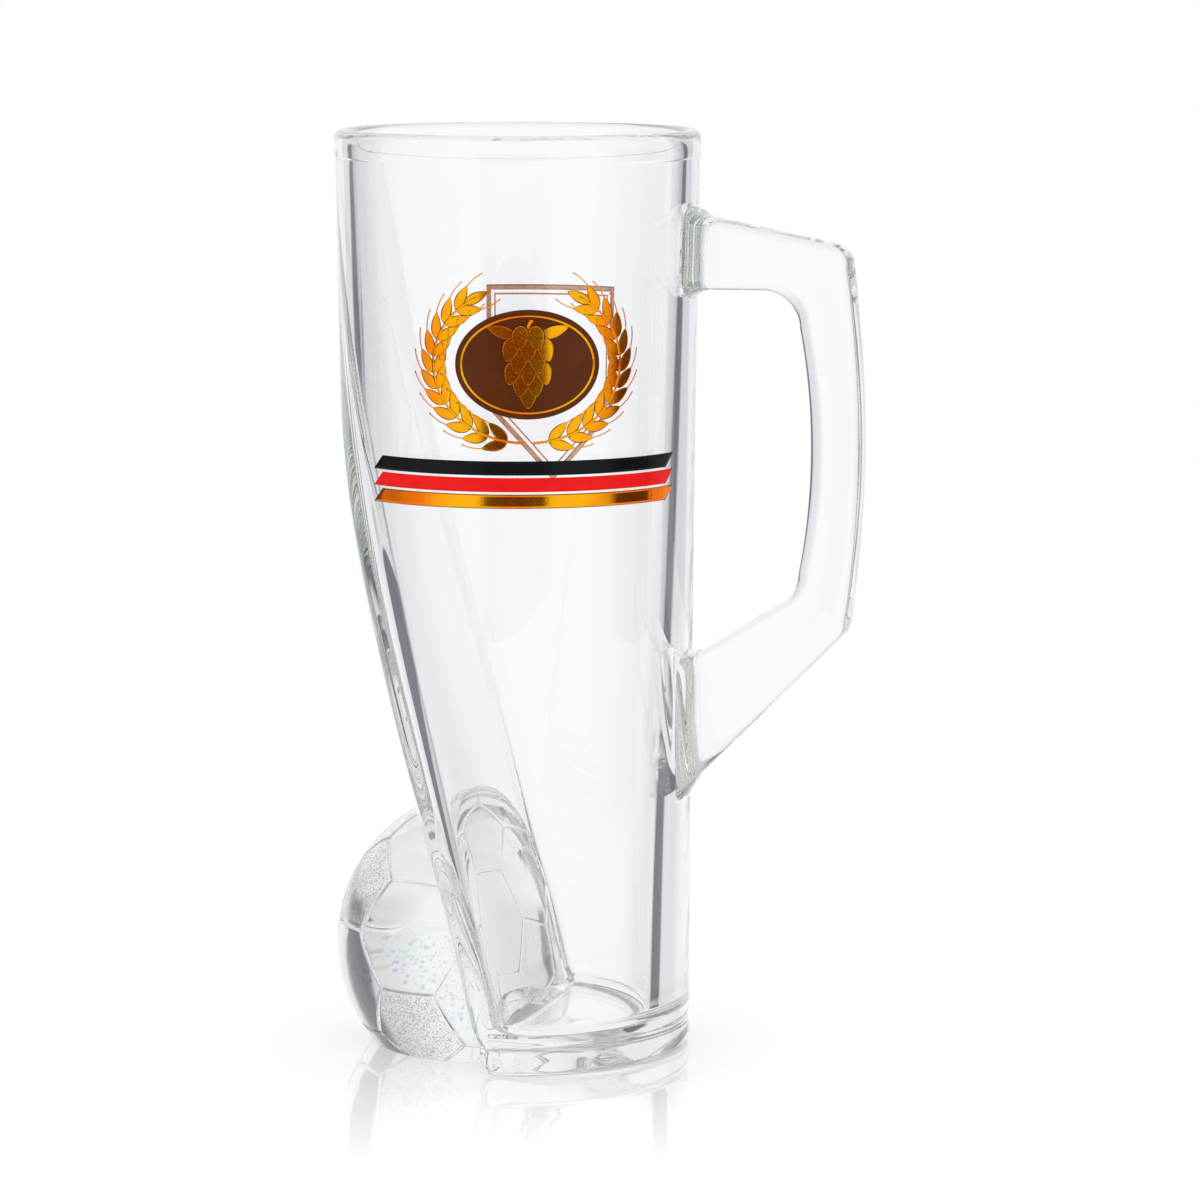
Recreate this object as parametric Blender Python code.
"""Pressed-glass beer mug with a moulded football at its foot, modelled in metres with +Z up.

The mug's axis is the Z axis and its base stands on z = 0. The handle points along +X and the ball
along -X. A leaning flat takes a slice off the round body on the ball's side, and the ball sits on
that flat. Fired prints lie on the outside of the glass as thin skins.
"""

import bmesh
import bpy
import math
from mathutils import Vector

MM = 0.001

# Driving dimensions in millimetres and degrees
# Body
HEIGHT = 200.0
BODY_RADIUS_FOOT = 37.5
BODY_RADIUS_TOP = 39.2
RIM_RADIUS = 39.5
RIM_BAND_HEIGHT = 6.0
RIM_WALL = 3.5
INNER_RADIUS_FLOOR = 28.6
FLOOR_THICKNESS = 7.0
FLOOR_FILLET = 3.0
# Foot band below a shallow groove
FOOT_HEIGHT = 5.0
FOOT_GROOVE_HEIGHT = 2.6
FOOT_INSET = 0.35
FOOT_EDGE = 1.2
# Leaning flat on the ball's side, as distances from the axis
FLAT_AT_FOOT = -2.0
FLAT_LEAN = 16.1
FLAT_LEDGE = 0.4
FLAT_TOP_LEAN = 2.4
FLAT_BLEND = 6.0
FLAT_WALL = 7.8
FLAT_INNER_TOP_LEAN = 6.7
FLAT_CORNER = 3.0
FLAT_INNER_CORNER = 3.0
FLAT_LEAST_DEPTH = 0.12
# Football
BALL_RADIUS = 33.5
BALL_OFFSET = 6.9
BALL_CENTRE_HEIGHT = 22.0
# Handle: reach is measured from the axis, and its heights at the body run down from the rim
HANDLE_THICKNESS = 11.0
HANDLE_EDGE = 1.75
HANDLE_REACH = 75.7
HANDLE_DEPTH = 10.0
HANDLE_BOW = 2.6
HANDLE_BELOW_RIM = 18.0
UPPER_ARM_HEIGHT = 15.4
FINGER_GAP = 80.1
LOWER_ARM_HEIGHT = 26.9
HANDLE_TOP_DROP = 6.6
LOWER_ARM_TOP_RISE = 15.0
LOWER_ARM_RISE = 34.4
HANDLE_OUTER_CORNER = 5.0
HANDLE_WINDOW_CORNER = 8.0
# Fired prints: the front one faces the user who holds the handle in the right hand
PRINT_THICKNESS = 0.2
FRONT_PRINT_AZIMUTH = -72.0
FRONT_PRINT_BELOW_RIM = 47.5
BACK_PRINT_AZIMUTH = 92.0
BACK_PRINT_BELOW_RIM = 59.0
DISC_HALF_WIDTH = 15.5
DISC_HALF_HEIGHT = 11.5
EAR_SPACE = 1.7
EAR_WIDTH = 6.6
EAR_FOOT_ANGLE = 11.0
EAR_TIP_ANGLE = 30.0
EAR_GRAINS = 9
HOP_LENGTH = 18.0
HOP_WIDTH = 12.5
HOP_SCALES = 4
BAND_LENGTH = 72.0
BAND_WIDTH = 3.0
BAND_SPACE = 0.5
BAND_SLANT = 3.0
SCALLOP_DEPTH = 0.3
STRIP_FOOT_SHARE = 0.12
STRIP_FULLNESS = 0.6
STRIP_TIP_WIDTH = 0.8
PENNANT_WIDTH = 33.0
PENNANT_HEIGHT = 44.0
PENNANT_SHOULDER = 5.5
PENNANT_LINE = 1.2
RING_RADIUS = 8.0
RING_RISE = 5.0
# Clearance that neighbouring solids keep
CLEARANCE = 0.3

# Mesh resolution
FLAT_STEPS = 3
CORNER_STEPS = 4
ARC_STEPS = 20
BODY_ROW_SPACING = 12.0
OUTLINE_ARC_STEPS = 6
HANDLE_EDGE_STEPS = 2
RIM_STEPS = 4
BALL_SEGMENTS = 48
BALL_RINGS = 24
PRINT_STEP = 4.0
SCALLOP_STEPS = 4
SHARP_ANGLE = 30.0
WELD_DISTANCE = 0.03
FULL_TURN = 2.0 * math.pi

# Heights and radii that follow from them
BAND_BOTTOM_Z = HEIGHT - RIM_BAND_HEIGHT
INNER_RADIUS_RIM = RIM_RADIUS - RIM_WALL
HANDLE_TOP_Z = HEIGHT - HANDLE_BELOW_RIM
UPPER_ARM_UNDERSIDE_Z = HANDLE_TOP_Z - UPPER_ARM_HEIGHT
LOWER_ARM_TOP_Z = UPPER_ARM_UNDERSIDE_Z - FINGER_GAP
LOWER_ARM_ROOT_Z = LOWER_ARM_TOP_Z - LOWER_ARM_HEIGHT
EMBLEM_Z = HEIGHT - FRONT_PRINT_BELOW_RIM
PENNANT_Z = HEIGHT - BACK_PRINT_BELOW_RIM

# Finishes as colour, roughness, metallic and transmission
CLEAR_GLASS = ((0.93, 0.95, 0.94), 0.03, 0.0, 1.0)
MIRROR_GOLD = ((0.78, 0.50, 0.16), 0.15, 1.0, 0.0)
COPPER_LUSTRE = ((0.60, 0.32, 0.18), 0.3, 1.0, 0.0)
BROWN_ENAMEL = ((0.16, 0.06, 0.02), 0.25, 0.0, 0.0)
RED_ENAMEL = ((0.60, 0.02, 0.02), 0.25, 0.0, 0.0)
BLACK_ENAMEL = ((0.01, 0.01, 0.01), 0.25, 0.0, 0.0)


def clear_scene():
    for obj in list(bpy.data.objects):
        bpy.data.objects.remove(obj, do_unlink=True)


def principled(name, finish):
    colour, roughness, metallic, transmission = finish
    material = bpy.data.materials.new(name)
    material.use_nodes = True
    shader = material.node_tree.nodes["Principled BSDF"]
    shader.inputs["Base Color"].default_value = (*colour, 1.0)
    shader.inputs["Roughness"].default_value = roughness
    shader.inputs["Metallic"].default_value = metallic
    shader.inputs["Transmission Weight"].default_value = transmission
    return material


def object_from_bmesh(name, bm, material=None):
    """Scale a bmesh drawn in millimetres to metres and link it as an object."""
    bmesh.ops.scale(bm, vec=(MM, MM, MM), verts=bm.verts)
    bmesh.ops.recalc_face_normals(bm, faces=bm.faces)
    mesh = bpy.data.meshes.new(name)
    bm.to_mesh(mesh)
    bm.free()
    mesh.shade_smooth()
    mesh.set_sharp_from_angle(angle=math.radians(SHARP_ANGLE))
    obj = bpy.data.objects.new(name, mesh)
    bpy.context.scene.collection.objects.link(obj)
    if material:
        mesh.materials.append(material)
    return obj


def make_cutter(obj):
    obj.hide_render = True
    obj.display_type = "WIRE"
    return obj


def cut(obj, cutter):
    modifier = obj.modifiers.new("cut_" + cutter.name, "BOOLEAN")
    modifier.operation = "DIFFERENCE"
    modifier.solver = "EXACT"
    modifier.object = cutter


# Body shape as functions of height
def smooth_least(a, b, blend):
    """The smaller of two values, rounded off where they come within the blend of each other."""
    near = max(blend - abs(a - b), 0.0) / blend
    return min(a, b) - near * near * blend / 4.0


def body_radius(z):
    share = z / BAND_BOTTOM_Z
    return BODY_RADIUS_FOOT + (BODY_RADIUS_TOP - BODY_RADIUS_FOOT) * share


def inner_radius(z):
    share = (z - FLOOR_THICKNESS) / (HEIGHT - FLOOR_THICKNESS)
    return INNER_RADIUS_FLOOR + (INNER_RADIUS_RIM - INNER_RADIUS_FLOOR) * share


def flat_distance(z):
    """Distance of the outer flat from the axis: a leaning line that turns almost upright near the rim."""
    leaning = FLAT_AT_FOOT + z * math.tan(math.radians(FLAT_LEAN))
    below_band = BAND_BOTTOM_Z - z
    upright = BODY_RADIUS_TOP - FLAT_LEDGE - below_band * math.tan(math.radians(FLAT_TOP_LEAN))
    return smooth_least(leaning, upright, FLAT_BLEND)


def inner_flat_distance(z):
    """Distance of the inner flat from the axis: the outer flat less the wall, fading out at the rim."""
    leaning = FLAT_AT_FOOT - FLAT_WALL + z * math.tan(math.radians(FLAT_LEAN))
    below_rim = HEIGHT - z
    upright = INNER_RADIUS_RIM - below_rim * math.tan(math.radians(FLAT_INNER_TOP_LEAN))
    return smooth_least(leaning, upright, FLAT_BLEND)


def d_section(radius, flat, corner):
    """Points round a disc with one flat at x = -flat, whose two corners are rounded.

    They run from the middle of the flat over the +Y corner, round the +X side and back. Every section
    has the same count, so two of them can be joined point by point.
    """
    flat = min(flat, radius - FLAT_LEAST_DEPTH)
    centre_x = corner - flat
    centre_y = math.sqrt((radius - corner) ** 2 - centre_x**2)
    tangent = math.atan2(centre_y, centre_x)
    half = [(-flat, centre_y * step / FLAT_STEPS) for step in range(FLAT_STEPS)]
    for step in range(CORNER_STEPS + 1):
        angle = math.pi + (tangent - math.pi) * step / CORNER_STEPS
        half.append((centre_x + corner * math.cos(angle), centre_y + corner * math.sin(angle)))
    for step in range(1, ARC_STEPS + 1):
        angle = tangent * (1.0 - step / ARC_STEPS)
        half.append((radius * math.cos(angle), radius * math.sin(angle)))
    mirrored = [(x, -y) for x, y in reversed(half[1:-1])]
    return half + mirrored


def round_section(radius, like):
    """A full circle whose points lie in the same directions as those of another section."""
    return [tuple(Vector(point).normalized() * radius) for point in like]


def add_loop(bm, section, z):
    return [bm.verts.new((x, y, z)) for x, y in section]


def join_loops(bm, loops):
    for lower, upper in zip(loops, loops[1:]):
        for index, vert in enumerate(lower):
            following = (index + 1) % len(lower)
            bm.faces.new((vert, lower[following], upper[following], upper[index]))


def rows_between(low, high, spacing):
    count = max(round((high - low) / spacing), 1)
    return [low + (high - low) * step / count for step in range(count + 1)]


def outer_sections():
    """Outer loops from the base to the ledge under the rim band, as (section, height)."""
    groove_top = FOOT_HEIGHT + FOOT_GROOVE_HEIGHT
    foot_rows = [
        (0.0, FOOT_EDGE + FOOT_INSET),
        (FOOT_EDGE, FOOT_INSET),
        (FOOT_HEIGHT, FOOT_INSET),
        (FOOT_HEIGHT + FOOT_GROOVE_HEIGHT / 2.0, FOOT_INSET * 2.0),
    ]
    rows = []
    for z, inset in foot_rows:
        section = d_section(body_radius(z) - inset, flat_distance(z) - inset, FLAT_CORNER)
        rows.append((section, z))
    for z in rows_between(groove_top, BAND_BOTTOM_Z, BODY_ROW_SPACING):
        rows.append((d_section(body_radius(z), flat_distance(z), FLAT_CORNER), z))
    return rows


def rim_sections(like):
    """Loops up the rim band and over its rounded lip to the inner edge."""
    lip = RIM_WALL / 2.0
    middle = RIM_RADIUS - lip
    rows = [(round_section(RIM_RADIUS, like), BAND_BOTTOM_Z + FLAT_LEDGE)]
    for step in range(RIM_STEPS * 2 + 1):
        angle = math.pi * step / (RIM_STEPS * 2)
        radius = middle + lip * math.cos(angle)
        rows.append((round_section(radius, like), HEIGHT - lip + lip * math.sin(angle)))
    return rows


def inner_sections():
    """Loops down the inside to the rounded edge of the floor."""
    rows = []
    lowest = FLOOR_THICKNESS + FLOOR_FILLET
    for z in reversed(rows_between(lowest, HEIGHT - RIM_WALL, BODY_ROW_SPACING)):
        section = d_section(inner_radius(z), inner_flat_distance(z), FLAT_INNER_CORNER)
        rows.append((section, z))
    for step in range(1, CORNER_STEPS + 1):
        angle = math.pi / 2.0 * step / CORNER_STEPS
        inset = FLOOR_FILLET * (1.0 - math.cos(angle))
        flat = inner_flat_distance(lowest) - inset
        section = d_section(inner_radius(lowest) - inset, flat, FLAT_INNER_CORNER)
        rows.append((section, lowest - FLOOR_FILLET * math.sin(angle)))
    return rows


def make_body(glass):
    outer = outer_sections()
    rows = outer + rim_sections(outer[-1][0]) + inner_sections()
    bm = bmesh.new()
    loops = [add_loop(bm, section, z) for section, z in rows]
    join_loops(bm, loops)
    bm.faces.new(reversed(loops[0]))
    bm.faces.new(loops[-1])
    return object_from_bmesh("mug_body", bm, glass)


# Football
def flat_clearance_cutter():
    """A block whose leaning face follows the outer flat, a clearance outside it."""
    reach = BALL_RADIUS * 2.0 + HANDLE_REACH
    low = -BALL_RADIUS
    high = BALL_CENTRE_HEIGHT + BALL_RADIUS * 2.0
    heights = [low] + rows_between(0.0, min(high, BAND_BOTTOM_Z), BODY_ROW_SPACING)
    profile = [(-flat_distance(z) - CLEARANCE, z) for z in heights]
    profile += [(reach, heights[-1]), (reach, low)]
    bm = bmesh.new()
    face = bm.faces.new([bm.verts.new((x, -reach, z)) for x, z in profile])
    extruded = bmesh.ops.extrude_face_region(bm, geom=[face])
    verts = [item for item in extruded["geom"] if isinstance(item, bmesh.types.BMVert)]
    bmesh.ops.translate(bm, vec=(0.0, 2.0 * reach, 0.0), verts=verts)
    return make_cutter(object_from_bmesh("flat_clearance", bm))


def floor_cutter():
    size = BALL_RADIUS * 4.0
    bm = bmesh.new()
    bmesh.ops.create_cube(bm, size=size)
    bmesh.ops.translate(bm, vec=(-BALL_OFFSET, 0.0, -size / 2.0), verts=bm.verts)
    return make_cutter(object_from_bmesh("floor_clearance", bm))


def make_football(glass):
    bm = bmesh.new()
    bmesh.ops.create_uvsphere(bm, u_segments=BALL_SEGMENTS, v_segments=BALL_RINGS, radius=BALL_RADIUS)
    bmesh.ops.translate(bm, vec=(-BALL_OFFSET, 0.0, BALL_CENTRE_HEIGHT), verts=bm.verts)
    ball = object_from_bmesh("football", bm, glass)
    cut(ball, floor_cutter())
    cut(ball, flat_clearance_cutter())
    return ball


# Handle
def rounded_corner(before, corner, after, radius):
    """Points of the arc that rounds one corner of an outline."""
    to_before = (Vector(before) - Vector(corner)).normalized()
    to_after = (Vector(after) - Vector(corner)).normalized()
    half = to_before.angle(to_after) / 2.0
    start = Vector(corner) + to_before * radius / math.tan(half)
    end = Vector(corner) + to_after * radius / math.tan(half)
    centre = Vector(corner) + (to_before + to_after).normalized() * radius / math.sin(half)
    points = []
    for step in range(OUTLINE_ARC_STEPS + 1):
        share = step / OUTLINE_ARC_STEPS
        points.append(centre + (start.lerp(end, share) - centre).normalized() * radius)
    return [tuple(point) for point in points]


def bowed(start, end, bow):
    """Points between two ends of a line that bulges outwards by the bow at its middle."""
    points = []
    for step in range(1, OUTLINE_ARC_STEPS):
        share = step / OUTLINE_ARC_STEPS
        x, z = Vector(start).lerp(Vector(end), share)
        points.append((x + bow * 4.0 * share * (1.0 - share), z))
    return points


def handle_outline():
    """The C of the handle in the XZ plane, starting inside the body at the top of the upper arm."""
    root = BODY_RADIUS_FOOT / 2.0
    outer_x = HANDLE_REACH - HANDLE_BOW
    inner_x = outer_x - HANDLE_DEPTH
    body_x = body_radius(HANDLE_TOP_Z)
    top_slope = HANDLE_TOP_DROP / (outer_x - body_x)
    low_slope = LOWER_ARM_RISE / (outer_x - body_x)
    rise_slope = LOWER_ARM_TOP_RISE / (inner_x - body_x)
    top_root = (root, HANDLE_TOP_Z + top_slope * (body_x - root))
    top_corner = (outer_x, HANDLE_TOP_Z - HANDLE_TOP_DROP)
    low_corner = (outer_x, LOWER_ARM_ROOT_Z + LOWER_ARM_RISE)
    low_root = (root, LOWER_ARM_ROOT_Z - low_slope * (body_x - root))
    window_low_root = (root, LOWER_ARM_TOP_Z - rise_slope * (body_x - root))
    window_low = (inner_x, LOWER_ARM_TOP_Z + LOWER_ARM_TOP_RISE)
    window_top = (inner_x, UPPER_ARM_UNDERSIDE_Z)
    window_top_root = (root, UPPER_ARM_UNDERSIDE_Z)
    top_arc = rounded_corner(top_root, top_corner, low_corner, HANDLE_OUTER_CORNER)
    low_arc = rounded_corner(top_corner, low_corner, low_root, HANDLE_OUTER_CORNER)
    window_low_arc = rounded_corner(window_low_root, window_low, window_top, HANDLE_WINDOW_CORNER)
    window_top_arc = rounded_corner(window_low, window_top, window_top_root, HANDLE_WINDOW_CORNER)
    outside = top_arc + bowed(top_arc[-1], low_arc[0], HANDLE_BOW) + low_arc
    window = window_low_arc + bowed(window_low_arc[-1], window_top_arc[0], HANDLE_BOW) + window_top_arc
    return [top_root] + outside + [low_root, window_low_root] + window + [window_top_root]


def body_clearance_cutter():
    """A turned solid a clearance larger than the body, which trims the handle's roots."""
    heights = (HEIGHT, BAND_BOTTOM_Z, 0.0)
    bm = bmesh.new()
    profile = [bm.verts.new((0.0, 0.0, HEIGHT))]
    profile += [bm.verts.new((body_radius(z) + CLEARANCE, 0.0, z)) for z in heights]
    profile.append(bm.verts.new((0.0, 0.0, 0.0)))
    for upper, lower in zip(profile, profile[1:]):
        bm.edges.new((upper, lower))
    steps = len(d_section(BODY_RADIUS_FOOT, 0.0, FLAT_CORNER))
    bmesh.ops.spin(
        bm, geom=bm.verts[:] + bm.edges[:], cent=(0, 0, 0), axis=(0, 0, 1), angle=FULL_TURN, steps=steps
    )
    bmesh.ops.remove_doubles(bm, verts=bm.verts, dist=WELD_DISTANCE)
    return make_cutter(object_from_bmesh("body_clearance", bm))


def make_handle(glass):
    half = HANDLE_THICKNESS / 2.0
    bm = bmesh.new()
    face = bm.faces.new([bm.verts.new((x, -half, z)) for x, z in handle_outline()])
    extruded = bmesh.ops.extrude_face_region(bm, geom=[face])
    verts = [item for item in extruded["geom"] if isinstance(item, bmesh.types.BMVert)]
    bmesh.ops.translate(bm, vec=(0.0, HANDLE_THICKNESS, 0.0), verts=verts)
    rims = [edge for edge in bm.edges if abs(edge.verts[0].co.y - edge.verts[1].co.y) < half]
    bmesh.ops.bevel(
        bm, geom=rims, offset=HANDLE_EDGE, segments=HANDLE_EDGE_STEPS, profile=0.5, affect="EDGES"
    )
    handle = object_from_bmesh("handle", bm, glass)
    cut(handle, body_clearance_cutter())
    return handle


# Fired prints
def on_glass(azimuth, level, across, up, lift):
    """The point at an arc length across and a height up from a print's middle, lifted off the glass."""
    z = level + up
    radius = body_radius(z)
    angle = math.radians(azimuth) + across / radius
    return ((radius + lift) * math.cos(angle), (radius + lift) * math.sin(angle), z)


class PrintLayer:
    """One colour of a print: closed patches of even thickness that follow the round of the glass."""

    def __init__(self, azimuth, level, layer=0):
        self.azimuth = azimuth
        self.level = level
        self.low = CLEARANCE + layer * (CLEARANCE + PRINT_THICKNESS)
        self.bm = bmesh.new()

    def verts(self, points, lift):
        return [self.bm.verts.new(on_glass(self.azimuth, self.level, u, v, lift)) for u, v in points]

    def patch(self, rings, closed=True):
        """Rings of equal count from the middle outwards. A first ring of one point is a centre.

        An open set of rings is a strip, whose rows run from one end to the other.
        """
        sheets = []
        for lift in (self.low, self.low + PRINT_THICKNESS):
            sheets.append([self.verts(ring, lift) for ring in rings])
        for sheet, turned in zip(sheets, (True, False)):
            for inner, outer in zip(sheet, sheet[1:]):
                self.between(inner, outer, closed, turned)
        lower, upper = sheets
        self.between(lower[-1], upper[-1], closed, False)
        if len(rings[0]) > 1:
            self.between(lower[0], upper[0], closed, True)
        if not closed:
            for side in (0, -1):
                self.between([ring[side] for ring in lower], [ring[side] for ring in upper], False, side == 0)

    def between(self, first, second, closed, turned):
        count = len(second)
        for index in range(count if closed else count - 1):
            following = (index + 1) % count
            if len(first) == 1:
                corners = (first[0], second[index], second[following])
            else:
                corners = (first[index], second[index], second[following], first[following])
            self.bm.faces.new(reversed(corners) if turned else corners)

    def finish(self, name, material):
        return object_from_bmesh(name, self.bm, material)


def ellipse(half_width, half_height, count):
    turns = [FULL_TURN * index / count for index in range(count)]
    return [(half_width * math.cos(turn), half_height * math.sin(turn)) for turn in turns]


def scalloped_width(share, width, scallops):
    """Width of a grain-edged strip at a share of its length: full low down, with round bites to a tip."""
    along = STRIP_FOOT_SHARE + (1.0 - STRIP_FOOT_SHARE) * share
    body = math.sin(math.pi * along) ** STRIP_FULLNESS
    bite = 1.0 - SCALLOP_DEPTH * (1.0 - abs(math.sin(math.pi * scallops * share)))
    return max(width * body * bite, STRIP_TIP_WIDTH)


def emblem_layer(layer=0):
    """A layer of the front emblem, whose middle is the middle of the disc."""
    return PrintLayer(FRONT_PRINT_AZIMUTH, EMBLEM_Z, layer)


def make_disc(material):
    count = round(FULL_TURN * DISC_HALF_WIDTH / PRINT_STEP)
    shares = [width / DISC_HALF_WIDTH for width in rows_between(0.0, DISC_HALF_WIDTH, PRINT_STEP)[1:]]
    rings = [ellipse(DISC_HALF_WIDTH * share, DISC_HALF_HEIGHT * share, count) for share in shares]
    layer = emblem_layer()
    layer.patch([[(0.0, 0.0)]] + rings)
    return layer.finish("print_brown_disc", material)


def make_band(name, index, material):
    """One of the level stripes below the emblem, counted downwards, with slanted ends."""
    top = -DISC_HALF_HEIGHT - EAR_SPACE - EAR_WIDTH - BAND_SPACE - index * (BAND_WIDTH + BAND_SPACE)
    steps = rows_between(-BAND_LENGTH / 2.0, BAND_LENGTH / 2.0, PRINT_STEP)
    upper = [(u + BAND_SLANT / 2.0, top) for u in steps]
    lower = [(u - BAND_SLANT / 2.0, top - BAND_WIDTH) for u in steps]
    layer = emblem_layer()
    layer.patch([upper, lower], closed=False)
    return layer.finish(name, material)


def make_ear(name, side, material):
    """One ear of barley beside the disc: a strip along its edge, which bulges at every grain."""
    count = EAR_GRAINS * SCALLOP_STEPS
    middle = EAR_SPACE + EAR_WIDTH / 2.0
    edges = ([], [])
    for step in range(count + 1):
        share = step / count
        turn = math.radians(EAR_FOOT_ANGLE - 90.0 + (180.0 - EAR_FOOT_ANGLE - EAR_TIP_ANGLE) * share)
        half = scalloped_width(share, EAR_WIDTH, EAR_GRAINS) / 2.0
        for edge, offset in zip(edges, (middle - half, middle + half)):
            across = (DISC_HALF_WIDTH + offset) * math.cos(turn)
            edge.append((side * across, (DISC_HALF_HEIGHT + offset) * math.sin(turn)))
    layer = emblem_layer()
    layer.patch(edges, closed=False)
    return layer.finish(name, material)


def make_hop(material):
    """A hop cone on the disc: an upright strip that narrows downwards, scalloped at every row of scales."""
    count = HOP_SCALES * SCALLOP_STEPS
    columns = (-1.0, 0.0, 1.0)
    edges = tuple([] for _ in columns)
    for step in range(count + 1):
        share = step / count
        half = scalloped_width(share, HOP_WIDTH, HOP_SCALES) / 2.0
        for edge, column in zip(edges, columns):
            edge.append((half * column, HOP_LENGTH * (0.5 - share)))
    layer = emblem_layer(layer=1)
    layer.patch(edges, closed=False)
    return layer.finish("print_gold_hop", material)


def pennant_ring(inset):
    """The outline of a hanging pennant drawn in by an inset, with points close enough to bend."""
    half = PENNANT_WIDTH / 2.0 - inset
    top = PENNANT_HEIGHT / 2.0 - inset
    drop = PENNANT_HEIGHT / 2.0 - PENNANT_SHOULDER
    slant = math.hypot(PENNANT_WIDTH / 2.0, drop) / (PENNANT_WIDTH / 2.0)
    tip = -PENNANT_HEIGHT / 2.0 + inset * slant
    shoulder = tip + drop * half / (PENNANT_WIDTH / 2.0)
    corners = [(-half, top), (half, top), (half, shoulder), (0.0, tip), (-half, shoulder)]
    count = max(round(PENNANT_WIDTH / PRINT_STEP), 1)
    points = []
    for start, end in zip(corners, corners[1:] + corners[:1]):
        points += [tuple(Vector(start).lerp(Vector(end), step / count)) for step in range(count)]
    return points


def make_pennant(material):
    layer = PrintLayer(BACK_PRINT_AZIMUTH, PENNANT_Z)
    layer.patch([pennant_ring(PENNANT_LINE), pennant_ring(0.0)])
    return layer.finish("print_copper_pennant", material)


def make_ring(material):
    count = round(FULL_TURN * RING_RADIUS / PRINT_STEP) * 2
    layer = PrintLayer(BACK_PRINT_AZIMUTH, PENNANT_Z + RING_RISE)
    inside = RING_RADIUS - PENNANT_LINE
    layer.patch([ellipse(inside, inside, count), ellipse(RING_RADIUS, RING_RADIUS, count)])
    return layer.finish("print_copper_ring", material)


def main():
    clear_scene()
    glass = principled("clear_glass", CLEAR_GLASS)
    gold = principled("mirror_gold", MIRROR_GOLD)
    copper = principled("copper_lustre", COPPER_LUSTRE)
    brown = principled("brown_enamel", BROWN_ENAMEL)
    red = principled("red_enamel", RED_ENAMEL)
    black = principled("black_enamel", BLACK_ENAMEL)
    make_body(glass)
    make_football(glass)
    make_handle(glass)
    make_disc(brown)
    make_hop(gold)
    make_ear("print_gold_ear_right", 1, gold)
    make_ear("print_gold_ear_left", -1, gold)
    make_band("print_black_band", 0, black)
    make_band("print_red_band", 1, red)
    make_band("print_gold_band", 2, gold)
    make_pennant(copper)
    make_ring(copper)


main()
